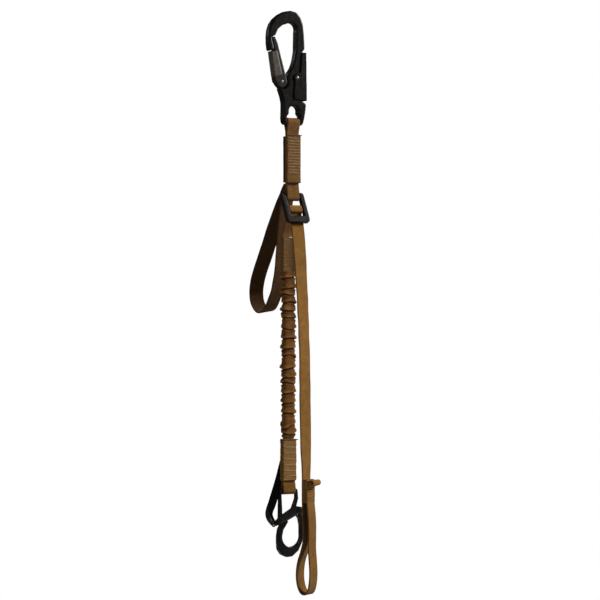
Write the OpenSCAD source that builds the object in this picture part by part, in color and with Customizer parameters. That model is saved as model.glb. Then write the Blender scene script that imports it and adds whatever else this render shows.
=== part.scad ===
// Shock absorbing lanyard: a locking snap hook, an adjustable webbing strap with a rear loop and
// a hand loop, an elastic absorber in a crinkled sleeve, and a quick-release snap shackle.
// It hangs from the hook. X runs across the webbing, -Y is the front and +Z is up. The origin is
// the centre of the seat inside the hook's crown.

/* [Webbing] */
// Width of the webbing
strap_w = 25.4; // [24:0.1:26]
// Thickness of one ply of webbing
strap_t = 2.6; // [2.2:0.1:2.7]
// Width of the wrapped plies at the sewn splices
splice_w = 28; // [26:0.5:28]
// Thickness of a row of thread
thread_t = 0.6; // [0.4:0.1:1]

/* [Hook] */
// Thickness of the forged hook, front to back
hook_t = 14; // [13.6:0.1:14.2]
// Radius of the seat inside the crown
seat_r = 12; // [12:0.1:12.2]
// Thickness of the gate, front to back
gate_t = 13; // [12:0.2:13]
// How far the closed gate leans outward
gate_lean = 13.5; // [13:0.1:14]
// Radius of the hook's rivets
rivet_r = 2.5; // [2:0.1:2.6]

/* [Buckle] */
// Width of the adjuster buckle
buckle_w = 45; // [43:0.5:46]
// Thickness of the adjuster buckle
buckle_t = 8; // [6:0.2:8]
// How far the buckle's lower end tips forward
buckle_tip = 27; // [26:0.5:28]

/* [Absorber] */
// Width of the crinkled sleeve between its pleats
sleeve_w = 26; // [24:0.5:26]
// Thickness of the crinkled sleeve
sleeve_t = 13; // [12:0.5:13]
// Number of pleats in the sleeve
pleats = 20; // [12:1:24]
// Radius of each elastic cord inside the sleeve
elastic_r = 2.8; // [2:0.1:3]

/* [Shackle] */
// Thickness of the shackle's bail
bail_t = 8; // [7:0.5:9]
// Thickness of the shackle's jaw
jaw_t = 10; // [9:0.5:10]
// Radius of the seat at the bottom of the jaw
jaw_seat_r = 18.5; // [18:0.1:18.6]
// Radius of the shackle's barrel
barrel_r = 6.2; // [6:0.1:6.4]
// Radius of the locking plunger
plunger_r = 2.2; // [2:0.05:2.2]

/* [Hidden] */

$fn = 48;
ply_gap = 0.1;
run = 0.05;
strap_x = 6;

// Hook
gate_pivot = [-17.8, -92];
lever_pivot = [11.8, -84];
lug_t = 6.4;
gate_side = 0.25;
gate_bar = [
    [-10.3, -1.5], [-12.6, 2.5], [-12.4, 10], [-8.6, 55.5], [-1.4, 55.5], [-1.4, 79], [5, 79],
    [7.5, 68], [10.3, 10], [10.3, -1.5]];
fork_r = 10.5;
lug_r = 9.3;
fork_clear_r = 10.9;
swing_clear_r = 13.2;
gate_sweep = [[-22, 5.4], [4, 5.4], [8, -6], [9.3, -6], [27, 33], [-22, 30]];
nose_rib = [[-4, 58], [2, 58], [2, 80], [-4, 82]];
nose_rib_t = 6.8;
nose_slot_t = 7.4;
eye_z = -162;
eye_bar_r = 5;
eye_arch = [6, -143];
eye_arch_r = 10;
eye_side = 13.6;
eye_slot = [
    [-9, -146], [9, -146], [eye_side, -152], [eye_side, -170], [-eye_side, -170], [-eye_side, -152]];
hook_outline = [
    [0, 32.5], [11.5, 30], [19.5, 22], [24.6, 9.5], [26.6, -8], [27.8, -28], [27.8, -33.4],
    [23.2, -38], [23.2, -124.5], [30.8, -129.5], [30, -140], [27, -156], [25, -163], [22, -166],
    [-10, -166], [-13.5, -163], [-14.5, -156], [-14, -140], [-14, -129], [-16.5, -118],
    [-21, -106], [-26, -99.5], [-27, -92], [-24, -82], [-9, -80], [-5, -76.5], [-1, -73],
    [3, -67], [6.8, -57], [9, -48], [11, -36], [11.4, 0], [0, 4], [-1, 11.6],
    [-16, 7], [-25.4, -0.5], [-30.9, -11.9], [-38.7, -14.3], [-33.2, -37.1], [-41.8, -39.2],
    [-43.7, -27], [-44, -14], [-42.8, -3], [-39, 7.5], [-32, 17], [-22, 25], [-11, 30.5]];
lever_plate = [
    [22, -39.5], [28.6, -39.5], [29.6, -124], [7, -122], [6, -112], [8, -92], [5.6, -84], [8, -78.5],
    [12, -77], [19, -74]];
lever_web = [[28.5, -39.5], [30.3, -39.5], [31.4, -124], [29.5, -124]];
lever_plate_t = 1.7;
lever_inner = hook_t / 2 + 0.3;

// Upper splice
eye_wrap_r = eye_bar_r + 0.3 + strap_t / 2;
strand_y = strap_t / 2 + ply_gap;
splice_top = -184;
splice_end = -268;
overlay_t = 2 * strap_t - 0.6;
front_face = -(strap_t + ply_gap) - overlay_t;
rear_ply_1 = strap_t + ply_gap + strap_t / 2;
rear_ply_2 = rear_ply_1 + strap_t + ply_gap;
seam_rise = 1.2;

// Rear loop: its seam roll, then its route down and back up as [y, z]
loop_seam = [7, -271.5];
loop_seam_r = 2.6;
rear_loop_route = [
    [8.6, -272], [30, -300], [55, -333], [79, -368], [99, -398], [114, -421], [125, -441],
    [129.5, -458], [125, -477], [111, -490.5], [93, -493.5], [75, -485], [60.5, -467], [49.5, -447],
    [41, -424], [35.5, -395], [31.5, -360], [25.5, -325], [17, -295], [8.4, -273.4]];

// Buckle, measured down from its top bar and forward of its middle plane
buckle_pivot = [0, -294];
top_bar_r = 3;
top_wrap_r = top_bar_r + 0.3 + strap_t / 2;
buckle_len = 50;
buckle_back = 3;
buckle_rise = 3;
corner_r = 5;
rail_x = 14;
middle_bar = [21, 25];
middle_bar_r = 2;
bottom_bar = 38;
wrap_route = [
    [25, -8.2], [24, -6.6], [21.6, -5.2], [19, -4.2], [17.6, -3], [17, -1.4], [17.1, 1], [18, 2.7],
    [19.6, 3.4], [23, 3.45], [26.4, 3.4], [28, 2.7], [28.7, 1.4], [29.3, -0.8], [30.6, -2.8],
    [33, -4.2], [37, -4.8], [43, -4.8], [50, -4.8]];
load_route = [[-4, -320.4], [-1.5, -326.5], [3.4, -337], [8.9, -348], [12.5, -356], [13, -362.6]];

// Tail of the strap: [y, z, twist], then its sewn end and the hand loop
tail_route = [
    [-18.6, -341.1, 0], [-21, -352, 0], [-25, -374, 2], [-29, -402, 5], [-33, -438, 9],
    [-37, -480, 12], [-41, -530, 14], [-44, -585, 14], [-46, -645, 12], [-47, -700, 13],
    [-48, -735, 17], [-49, -765, 24], [-49, -783.7, 28]];
tail_axis = [6, -49];
tail_turn = 28;
tail_splice_z = [-784, -824];
tail_splice_t = 11.8;
tail_splice_y = -4.6;
tail_splice_face = tail_splice_y - tail_splice_t / 2;
stopper_z = -791.5;
stopper_t = 11.5;
stopper_y = [tail_splice_face, -23.5];
stopper_rise = 3;
hand_route = [
    [0, -824.3], [-0.4, -842], [-1.6, -868], [-1, -890], [3.2, -908], [8.8, -924], [12, -940],
    [12.4, -955], [10, -969], [5, -979], [-1, -982.6], [-7, -981], [-12, -972], [-14.8, -957],
    [-15, -940], [-13.4, -922], [-12, -905], [-12.2, -884], [-12.4, -862], [-11, -842],
    [-9, -824.3]];

// Absorber
absorber_y = 13;
block_top = -363;
sleeve_top = -424;
sleeve_end = -721;
block_end = -790;
block_t = 10;
pleat_depth = 2;
elastic_gap = 7;

// Shackle, with places measured from the middle of its bail bar
bail_z = -808;
bail_bar_r = 3.5;
bail_wrap_r = bail_bar_r + 0.3 + strap_t / 2;
bail_outline = [
    [-19.2, 1.5], [-17, 2.8], [15, 2.8], [17, 1.5], [18.4, -14], [15, -26], [14, -36], [-12, -54],
    [-20.5, -54]];
bail_opening = [[-15.7, 4], [13.3, 4], [13, -14], [6, -31.5], [-9, -40], [-13.6, -40]];
boss = [21, -35];
boss_r = 6.5;
boss_t = 12;
barrel_lean = 25;
slot_r = [29, 35.5];
slot_t = 6.6;
lug_side = 0.3;
barrel_end = -45.5;
chamber = [-45.5, -37];
chamber_r = 3.8;
cap_end = -48.5;
knob = [-52.6, -50];
knob_r = 4.4;
pull_eye = -55.6;
pull_eye_r = 4.2;
pull_eye_t = 2;
pull_eye_bore = 2.2;
knuckle_r = 6.2;
knuckle_t = 6;
knuckle_gap_r = 8.2;
jaw_pin_r = 2.4;
jaw_seat = [4.2, -80.5];
jaw_outline = [
    [22.5, -43.5], [28, -42.5], [29.3, -55], [29.3, -72], [26.5, -90], [18.5, -106],
    [6, -115.5], [-5, -116.5], [-15.5, -111.5], [-22, -102.5], [-23, -90], [-22.8, -78],
    [-21, -67],
    [-17.8, -61], [-7.2, -55.9], [16, -45]];
jaw_opening = [
    [22.5, -80.5], [22.5, -62], [20, -50], [15, -43], [0, -50.5], [-6, -60], [-12, -68],
    [-14, -80.5]];
ring_lean = 32;
ring_turn = 26;
ring_r = 9.5;
ring_wire = 1.2;
tab_t = 1.8;
tab_w = 18;
tab_y = 22;
tab_route = [[15, -716], [9, -736], [1, -762], [-7, -788], [-16, -815], [-27.5, -843]];

// Point list of an arc about c
function arc(c, r, from, to, steps) =
    [for (i = [0:steps]) let (a = from + (to - from) * i / steps) c + r * [cos(a), sin(a)]];

// Smooth curve through the points p, with k steps between each pair
function between(a, b, c, d, t) =
    0.5 * (2 * b + (c - a) * t + (2 * a - 5 * b + 4 * c - d) * t * t
        + (3 * b - a - 3 * c + d) * t * t * t);
function smooth(p, k) = concat(
    [for (i = [0:len(p) - 2]) for (j = [0:k - 1])
        between(p[max(i - 1, 0)], p[i], p[i + 1], p[min(i + 2, len(p) - 1)], j / k)],
    [p[len(p) - 1]]);

// The points p moved sideways by d
function moved(p, d) =
    [for (i = [0:len(p) - 1])
        let (v = p[min(i + 1, len(p) - 1)] - p[max(i - 1, 0)]) p[i] + d * [-v.y, v.x] / norm(v)];
function moved_loop(p, d) =
    let (n = len(p))
    [for (i = [0:n - 1]) let (v = p[(i + 1) % n] - p[(i + n - 1) % n])
        p[i] + d * [-v.y, v.x] / norm(v)];
function back(p) = [for (i = [len(p) - 1:-1:0]) p[i]];

// A flat shape in X and Z made t thick about the plane at y
module slab(t, y = 0) {
    translate([0, y, 0]) rotate([90, 0, 0]) linear_extrude(t, center = true) children();
}

// A flat shape in Y and Z made w wide about the webbing's middle
module across(w, x = strap_x) {
    translate([x - w / 2, 0, 0]) rotate([90, 0, 90]) linear_extrude(w) children();
}

// Webbing along an open route of [y, z]
module ribbon(p, t = strap_t) {
    polygon(concat(moved(p, t / 2), back(moved(p, -t / 2))));
}

// Webbing along part of a route, from point a to point b
module ribbon_part(p, a, b, t = strap_t) {
    left = moved(p, t / 2);
    right = moved(p, -t / 2);
    polygon([for (i = [a:b]) left[i], for (i = [b:-1:a]) right[i]]);
}

// Webbing along a closed, counterclockwise route of [y, z]
module closed_ribbon(p, t = strap_t) {
    difference() {
        polygon(moved_loop(p, -t / 2));
        polygon(moved_loop(p, t / 2));
    }
}

// Round bar along Y at [x, z]
module round_y(r, t, at, y = 0) {
    translate([at.x, y, at.y]) rotate([90, 0, 0]) cylinder(r = r, h = t, center = true);
}

// Round bar along X at [y, z]
module round_x(r, w, at, x = strap_x) {
    translate([x, at.x, at.y]) rotate([0, 90, 0]) cylinder(r = r, h = w, center = true);
}

// Block with rounded edges across the webbing, between two heights
module sewn_block(w, t, z, y) {
    translate([strap_x, y, 0]) linear_extrude_between(z)
        offset(r = 1) square([w - 2, t - 2], center = true);
}
module linear_extrude_between(z) {
    translate([0, 0, min(z)]) linear_extrude(max(z) - min(z)) children();
}

// Rows of thread across the webbing on the face at y
module thread_rows(z, count, w, y, slope = 1.2) {
    for (i = [0:count - 1])
        translate([strap_x, y, z[0] + (z[1] - z[0]) * i / (count - 1)])
            rotate([0, (i % 2 == 0 ? 1 : -1) * slope, 0])
                cube([w, thread_t, 1.4], center = true);
}

// Flat coil about the Y axis
module coil(r, wire, turns, first, pitch) {
    for (i = [0:turns - 1])
        translate([0, first + i * pitch, 0]) rotate([90, 0, 0])
            rotate_extrude() translate([r, 0]) circle(r = wire);
}

module in_gate() {
    translate([gate_pivot.x, 0, gate_pivot.y]) rotate([0, -gate_lean, 0]) children();
}

module in_buckle() {
    translate([0, buckle_pivot.x, buckle_pivot.y]) rotate([-buckle_tip, 0, 0]) children();
}

module in_tail() {
    translate([tail_axis.x, tail_axis.y, 0]) rotate([0, 0, tail_turn])
        translate([-strap_x, 0, 0]) children();
}

module in_shackle() {
    translate([strap_x, absorber_y, bail_z]) children();
}

// Places along the barrel, measured from the jaw's boss
module in_barrel() {
    in_shackle() translate([boss.x, 0, boss.y]) rotate([0, 90 - barrel_lean, 0]) children();
}

module hook_body() {
    color("#191615") difference() {
        union() {
            difference() {
                slab(hook_t) polygon(hook_outline);
                round_y(swing_clear_r, hook_t, gate_pivot, (hook_t + lug_t) / 2);
                round_y(swing_clear_r, hook_t, gate_pivot, -(hook_t + lug_t) / 2);
                in_gate() slab(hook_t + 1) polygon(gate_sweep);
            }
            round_y(lug_r, lug_t, gate_pivot);
            in_gate() slab(nose_rib_t) polygon(nose_rib);
            round_x(eye_bar_r, 38, [0, eye_z]);
        }
        round_y(seat_r, hook_t + 1, [0, 0]);
        round_y(eye_arch_r, hook_t + 1, eye_arch);
        difference() {
            translate([strap_x, 0, 0]) slab(hook_t + 1) polygon(eye_slot);
            round_x(eye_bar_r, 38, [0, eye_z]);
        }
        round_y(rivet_r, hook_t + 1, gate_pivot);
        round_y(rivet_r, hook_t + 1, lever_pivot);
        round_y(5.2, 2.4, gate_pivot, -2.2);
        round_y(6, 3.6, lever_pivot, -5.4);
    }
}

module hook_gate() {
    color("#6a655c") difference() {
        in_gate() difference() {
            union() {
                slab(gate_t) polygon(gate_bar);
                round_y(fork_r, gate_t, [0, 0]);
            }
            slab(lug_t + 2 * gate_side) circle(r = fork_clear_r);
            slab(nose_slot_t) polygon([[-9, 56.5], [2.6, 56.5], [2.6, 82], [-9, 82]]);
        }
        round_y(rivet_r + run, gate_t + 1, gate_pivot);
    }
}

module rivet(at, half, head_r, head_t) {
    round_y(rivet_r, 2 * half, at);
    for (side = [-1, 1]) round_y(head_r, head_t, at, side * (half + head_t / 2));
}

module gate_pin() {
    color("#b8b4ae") rivet(gate_pivot, gate_t / 2 + 0.1, 3.6, 1.1);
}

module gate_spring() {
    color("#8f8f8f") translate([gate_pivot.x, 0, gate_pivot.y]) coil(4, 0.5, 2, -2.6, 1.05);
}

module lock_lever() {
    color("#1d191a") difference() {
        union() {
            for (side = [-1, 1])
                slab(lever_plate_t, side * (lever_inner + lever_plate_t / 2)) polygon(lever_plate);
            slab(2 * (lever_inner + lever_plate_t)) polygon(lever_web);
        }
        round_y(rivet_r + run, 30, lever_pivot);
    }
}

module lever_pin() {
    color("#b8b4ae") rivet(lever_pivot, lever_inner + lever_plate_t + 0.1, 3.8, 1.1);
}

module lever_spring() {
    color("#8f8f8f") translate([lever_pivot.x, 0, lever_pivot.y]) coil(4.4, 0.7, 2, -6, 1.5);
}

// One closed loop of webbing round the hook's eye bar and the buckle's top bar
module upper_webbing() {
    route = concat(
        arc([0, eye_z], eye_wrap_r, 90, 205, 10),
        [[-3.4, eye_z - 11], [-strand_y - 0.3, splice_top + 6], [-strand_y, splice_top + 1],
            [-strand_y, splice_end - 1], [-strand_y - 0.5, splice_end - 6],
            [-3.4, buckle_pivot.y + 11]],
        arc(buckle_pivot, top_wrap_r, 160, 380, 16),
        [[3.4, buckle_pivot.y + 11], [strand_y + 0.5, splice_end - 6], [strand_y, splice_end - 1],
            [strand_y, splice_top + 1], [strand_y + 0.3, splice_top + 6], [3.4, eye_z - 11]],
        arc([0, eye_z], eye_wrap_r, -25, 80, 9));
    color("#6e4f2c") across(strap_w) closed_ribbon(route);
}

module upper_overlay() {
    color("#7d5c36") sewn_block(splice_w, overlay_t, [splice_top, splice_end],
        front_face + overlay_t / 2);
}

module upper_stitching() {
    color("#a08f74") {
        thread_rows([splice_top - 6, splice_top - 66], 13, 22, front_face - thread_t / 2);
        translate([strap_x + 0.6, front_face - thread_t / 2, splice_top - 1])
            cube([splice_w + seam_rise, thread_t, 1.6], center = true);
        translate([strap_x, front_face - thread_t / 2, splice_end + 1])
            cube([splice_w - 1, thread_t, 1.6], center = true);
    }
}

module rear_loop_ends() {
    color("#5d4224") for (y = [rear_ply_1, rear_ply_2])
        across(splice_w) ribbon([[y, splice_top - 4], [y, splice_end + 2]]);
}

module rear_loop() {
    color("#6e4f2c") {
        route = smooth(rear_loop_route, 2);
        middle = floor(len(route) / 2);
        round_x(loop_seam_r, strap_w, loop_seam);
        across(strap_w) ribbon_part(route, 0, middle);
        across(strap_w) ribbon_part(route, middle, len(route) - 1);
    }
}

module buckle_frame() {
    color("#2b2122") in_buckle() {
        difference() {
            slab(buckle_t, buckle_back - buckle_t / 2) translate([strap_x, 0]) hull()
                for (side = [-1, 1]) for (z = [buckle_rise, corner_r - buckle_len])
                    translate([side * (buckle_w / 2 - corner_r), z]) circle(corner_r, $fn = 32);
            slab(3 * buckle_t)
                polygon([[strap_x - rail_x, 9], [strap_x + rail_x, 9],
                    [strap_x + rail_x, -bottom_bar], [strap_x - rail_x, -bottom_bar]]);
        }
        round_x(top_bar_r, 2 * rail_x + 1, [0, 0]);
        for (s = middle_bar) round_x(middle_bar_r, 2 * rail_x + 1, [0, -s]);
        translate([strap_x, 0, -(middle_bar[0] + middle_bar[1]) / 2])
            cube([2 * rail_x + 1, 2 * middle_bar_r, middle_bar[1] - middle_bar[0]], center = true);
    }
}

module strap_wrap() {
    color("#8a5f30") in_buckle() across(strap_w)
        ribbon(smooth([for (p = wrap_route) [-p.y, -p.x]], 2));
}

module load_strap() {
    color("#6e4f2c") across(strap_w) ribbon(smooth(load_route, 2));
}

// Twisted webbing swept through rings along its route
module tail_strap() {
    n = len(tail_route);
    rings = [for (i = [0:n - 1])
        let (p = tail_route[i], v = tail_route[min(i + 1, n - 1)] - tail_route[max(i - 1, 0)],
            d = [v.x, v.y] / norm([v.x, v.y]), wide = [cos(p.z), sin(p.z), 0],
            deep = [-sin(p.z) * -d.y, cos(p.z) * -d.y, d.x])
        [for (c = [[-1, -1], [1, -1], [1, 1], [-1, 1]])
            [strap_x, p.x, p.y] + c.x * strap_w / 2 * wide + c.y * strap_t / 2 * deep]];
    color("#b08a52") polyhedron(
        points = [for (r = rings) for (q = r) q],
        faces = concat(
            [[2, 1, 0], [3, 2, 0]],
            [for (i = [0:n - 2]) for (j = [0:3])
                let (a = 4 * i + j, b = 4 * i + (j + 1) % 4)
                    each [[a, b, a + 4], [b, b + 4, a + 4]]],
            [[4 * n - 4, 4 * n - 3, 4 * n - 2], [4 * n - 4, 4 * n - 2, 4 * n - 1]]));
}

module tail_splice() {
    color("#7d5c36") in_tail() sewn_block(strap_w + 1, tail_splice_t, tail_splice_z,
        tail_splice_y);
}

module tail_stopper() {
    color("#9a6636") in_tail() across(strap_w - 1) translate([0, stopper_z]) hull() {
        translate([stopper_y[0] - stopper_t / 2, 0]) circle(stopper_t / 2, $fn = 32);
        translate([stopper_y[1] + stopper_t / 2, stopper_rise]) circle(stopper_t / 2, $fn = 32);
    }
}

module tail_stitching() {
    color("#c9bda4") in_tail()
        thread_rows([stopper_z - 10, tail_splice_z[1] + 4], 5, 20,
            tail_splice_face - thread_t / 2);
}

module hand_loop() {
    color("#a57b45") in_tail() across(strap_w) ribbon(smooth(hand_route, 2));
}

module absorber_top_block() {
    color("#7d5c36") sewn_block(splice_w - 2, block_t, [block_top, sleeve_top], absorber_y);
}

module absorber_top_stitching() {
    color("#a08f74") thread_rows([block_top - 6, sleeve_top + 6], 11, 21,
        absorber_y - block_t / 2 - thread_t / 2);
}

module elastic_core() {
    color("#33302d") for (i = [-1:1])
        translate([strap_x + i * elastic_gap, absorber_y, sleeve_end])
            cylinder(r = elastic_r, h = sleeve_top - sleeve_end);
}

// Sleeve with one bulge to each side for every pleat
module crinkle_sleeve() {
    pitch = (sleeve_top - sleeve_end) / pleats;
    edge = [for (i = [0:pleats - 1]) for (f = [0, 0.25, 0.5, 0.75])
        [sleeve_w / 2 + pleat_depth * sin(180 * f), sleeve_top - (i + f) * pitch]];
    right = concat(edge, [[sleeve_w / 2, sleeve_end]]);
    color("#5b3f20") difference() {
        slab(sleeve_t, absorber_y) translate([strap_x, 0])
            polygon(concat(right, back([for (p = right) [-p.x, p.y]])));
        translate([strap_x, absorber_y, (sleeve_top + sleeve_end) / 2])
            cube([sleeve_w - 3, sleeve_t - 4, sleeve_top - sleeve_end + 1], center = true);
    }
}

// Webbing down from the absorber, round the bail bar and up again
module lower_webbing() {
    y = absorber_y;
    route = concat(
        [[y - strand_y, sleeve_end], [y - strand_y, block_end - 1], [y - 3.4, block_end - 8]],
        arc([y, bail_z], bail_wrap_r, 165, 375, 16),
        [[y + 3.4, block_end - 8], [y + strand_y, block_end - 1], [y + strand_y, sleeve_end]]);
    color("#7d5c36") across(strap_w) ribbon(route);
}

module lower_overlay() {
    t = strap_t + 0.6;
    color("#7d5c36") for (side = [-1, 1])
        sewn_block(splice_w - 1, t, [sleeve_end, block_end],
            absorber_y + side * (strap_t + ply_gap + t / 2));
}

module lower_stitching() {
    face = absorber_y - (2 * strap_t + ply_gap + 0.6) - thread_t / 2;
    color("#b5a68a") {
        thread_rows([sleeve_end - 9, block_end + 8], 10, 21, face);
        translate([strap_x + 1.2, face, sleeve_end - 1.2])
            cube([splice_w + 1, thread_t, 1.6], center = true);
    }
}

module shackle_body() {
    color("#1f1717") {
        difference() {
            union() {
                in_shackle() difference() {
                    slab(bail_t) polygon(bail_outline);
                    slab(bail_t + 1) polygon(bail_opening);
                }
                in_shackle() round_x(bail_bar_r, 34, [0, 0], -1);
                in_barrel() translate([0, 0, barrel_end])
                    cylinder(r = barrel_r, h = -barrel_end);
                in_shackle() round_y(boss_r, boss_t, boss);
            }
            in_shackle() {
                round_y(knuckle_gap_r, slot_t, boss);
                slab(slot_t) polygon([boss + [-6, -4], boss + [12, 4], boss + [12, -14],
                    boss + [-2, -14]]);
                round_y(jaw_pin_r, boss_t + 1, boss);
                difference() {
                    round_y(slot_r[1], slot_t, boss);
                    round_y(slot_r[0], slot_t + 1, boss);
                    slab(slot_t + 2) polygon([boss + [60, 60], boss + [-60, 60],
                        boss + [-60, -6], boss + [-3, 5], boss + [8, -60], boss + [60, -60]]);
                }
            }
            in_barrel() {
                translate([0, 0, chamber[0] - 1])
                    cylinder(r = chamber_r, h = chamber[1] - chamber[0] + 1);
                translate([0, 0, chamber[1] - 1]) cylinder(r = plunger_r + run, h = 4);
            }
        }
    }
}

// C-shaped jaw that hinges at the boss and closes its lug into the barrel
module shackle_jaw() {
    color("#1f1717") in_shackle() difference() {
        union() {
            difference() {
                slab(jaw_t) polygon(jaw_outline);
                slab(jaw_t + 1) polygon(jaw_opening);
                round_y(jaw_seat_r, jaw_t + 1, jaw_seat);
                round_y(7.4, jaw_t + 1, boss);
            }
            round_y(knuckle_r, knuckle_t, boss);
            slab(knuckle_t) polygon([boss + [-2, -4], boss + [5, -2], boss + [6.6, -9],
                boss + [0.5, -10]]);
            difference() {
                round_y(slot_r[1] - lug_side, knuckle_t, boss);
                round_y(slot_r[0] + lug_side, knuckle_t + 1, boss);
                slab(knuckle_t + 2) polygon([boss + [60, 60], boss + [-60, 60],
                    boss + [-60, -22.8], boss + [0, 5], boss + [6, -6], boss + [-44, -31],
                    boss + [-60, -60], boss + [60, -60]]);
            }
        }
        round_y(jaw_pin_r + run, jaw_t + 4, boss);
    }
}

module jaw_pin() {
    color("#3a3433") in_shackle() {
        round_y(jaw_pin_r, boss_t, boss);
        for (side = [-1, 1]) round_y(3.6, 0.9, boss, side * (boss_t / 2 + 0.45));
    }
}

module lock_plunger() {
    color("#2a2422") in_barrel() {
        translate([0, 0, knob[1]]) cylinder(r = plunger_r, h = -slot_r[1] - knob[1]);
        translate([0, 0, chamber[1] - 1.6]) cylinder(r = chamber_r - 0.3, h = 1.5);
        translate([0, 0, knob[0]]) cylinder(r = knob_r, h = knob[1] - knob[0]);
        difference() {
            union() {
                round_y(pull_eye_r, pull_eye_t, [0, pull_eye]);
                translate([0, 0, (pull_eye + knob[0]) / 2 + 0.4])
                    cube([2 * pull_eye_r - 1, pull_eye_t, knob[0] - pull_eye + 1], center = true);
            }
            round_y(pull_eye_bore, 20, [0, pull_eye]);
        }
    }
}

module plunger_spring() {
    color("#8f8f8f") in_barrel() for (i = [0:3])
        translate([0, 0, chamber[0] + 0.6 + i * 1.8])
            rotate_extrude() translate([plunger_r + 0.8, 0]) circle(r = 0.5);
}

module plunger_cap() {
    color("#2a2422") in_barrel() difference() {
        translate([0, 0, cap_end]) cylinder(r = barrel_r - 0.6, h = barrel_end - cap_end);
        translate([0, 0, cap_end - 1]) cylinder(r = plunger_r + run, h = 8);
    }
}

module plunger_ring() {
    color("#3a3433") in_barrel() translate([0, 0, pull_eye])
        rotate([0, barrel_lean - 90 - ring_lean, 0]) translate([0, 0, ring_r])
            rotate([0, 0, -ring_turn]) rotate([0, 90, 0])
                rotate_extrude() translate([ring_r, 0]) circle(r = ring_wire);
}

// Black pull tab that hangs behind the lower splice and ends at the plunger's ring
module release_tab() {
    color("#211e1c") slab(tab_t, tab_y)
        polygon(concat(moved(tab_route, tab_w / 2), back(moved(tab_route, -tab_w / 2))));
}

hook_body();
hook_gate();
gate_pin();
gate_spring();
lock_lever();
lever_pin();
lever_spring();
upper_webbing();
upper_overlay();
upper_stitching();
rear_loop_ends();
rear_loop();
buckle_frame();
strap_wrap();
load_strap();
tail_strap();
tail_splice();
tail_stopper();
tail_stitching();
hand_loop();
absorber_top_block();
absorber_top_stitching();
elastic_core();
crinkle_sleeve();
lower_webbing();
lower_overlay();
lower_stitching();
shackle_body();
shackle_jaw();
jaw_pin();
lock_plunger();
plunger_spring();
plunger_cap();
plunger_ring();
release_tab();
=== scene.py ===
# Shock absorbing lanyard, hung from its hook. Routes and sizes are in millimetres, as in the CAD source.
import math

import bmesh
import bpy
import numpy as np

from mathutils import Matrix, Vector


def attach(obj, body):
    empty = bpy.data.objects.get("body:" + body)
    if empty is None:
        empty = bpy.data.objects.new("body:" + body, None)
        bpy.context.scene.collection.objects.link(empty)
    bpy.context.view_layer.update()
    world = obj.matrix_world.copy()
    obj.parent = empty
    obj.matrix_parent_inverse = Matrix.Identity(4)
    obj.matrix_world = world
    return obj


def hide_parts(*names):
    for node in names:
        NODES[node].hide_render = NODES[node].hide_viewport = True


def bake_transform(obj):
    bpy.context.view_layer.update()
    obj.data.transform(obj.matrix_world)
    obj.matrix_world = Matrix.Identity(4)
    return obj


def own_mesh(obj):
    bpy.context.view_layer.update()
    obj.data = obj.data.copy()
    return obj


MM = 0.001
STRAP_X = 6.0
STRAP_W = 25.4
STRAP_T = 2.6
ABSORBER_Y = 13.0
# pivots as [x, z] in the hook, and bars as [y, z] for the webbing that goes round them
GATE_PIVOT = (-17.8, -92)
LEVER_PIVOT = (11.8, -84)
EYE_BAR = (0, -162)
BUCKLE_BAR = (0, -294)
BAIL_BAR = (ABSORBER_Y, -808)
BUCKLE_TIP = math.radians(27)
SLEEVE_TOP, SLEEVE_END = -422.6, -722.6

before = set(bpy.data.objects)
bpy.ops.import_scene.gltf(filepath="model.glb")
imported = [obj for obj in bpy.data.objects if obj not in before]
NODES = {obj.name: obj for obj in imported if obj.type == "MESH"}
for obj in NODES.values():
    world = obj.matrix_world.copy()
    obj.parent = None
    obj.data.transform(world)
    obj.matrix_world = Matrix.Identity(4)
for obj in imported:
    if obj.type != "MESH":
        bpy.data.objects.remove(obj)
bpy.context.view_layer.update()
RNG = np.random.default_rng(41)


# ---- geometry helpers ----


def distances(line):
    """How far along a line each of its points lies."""
    return np.concatenate([[0], np.cumsum(np.linalg.norm(np.diff(line, axis=0), axis=1))])


def resampled(line, step):
    """Evenly spaced points along a line."""
    along = distances(line)
    at = np.linspace(0, along[-1], max(2, round(along[-1] / step) + 1))
    return np.column_stack([np.interp(at, along, line[:, k]) for k in range(line.shape[1])])


def curve(points, step):
    """Evenly spaced points on a smooth line through the given ones."""
    p = np.asarray(points, float)
    p = np.vstack([2 * p[0] - p[1], p, 2 * p[-1] - p[-2]])
    t = np.linspace(0, 1, 14, endpoint=False)[:, None]
    rows = [
        0.5 * (2 * b + (c - a) * t + (2 * a - 5 * b + 4 * c - d) * t**2 + (3 * b - a - 3 * c + d) * t**3)
        for a, b, c, d in zip(p, p[1:], p[2:], p[3:])
    ]
    return resampled(np.vstack([*rows, p[-2:-1]]), step)


def arc(centre, r, start, end, count):
    """Points [y, z] of an arc, angles in degrees."""
    a = np.radians(np.linspace(start, end, count))
    return np.column_stack([centre[0] + r * np.cos(a), centre[1] + r * np.sin(a)])


def in_yz(points):
    """Points [y, z] put in the middle plane of the webbing."""
    p = np.asarray(points, float)
    return np.column_stack([np.full(len(p), STRAP_X), p])


def drift(count, every, size):
    """Smooth random values, one new value each `every` points."""
    knots = RNG.normal(0, size, count // every + 3)
    at = np.arange(count) / every
    k = at.astype(int)
    f = at - k
    f = f * f * (3 - 2 * f)
    return knots[k] * (1 - f) + knots[k + 1] * f


def unit(v):
    return v / np.maximum(np.linalg.norm(v, axis=-1, keepdims=True), 1e-9)


def bell(x, width):
    return np.exp(-((x / width) ** 2))


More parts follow.
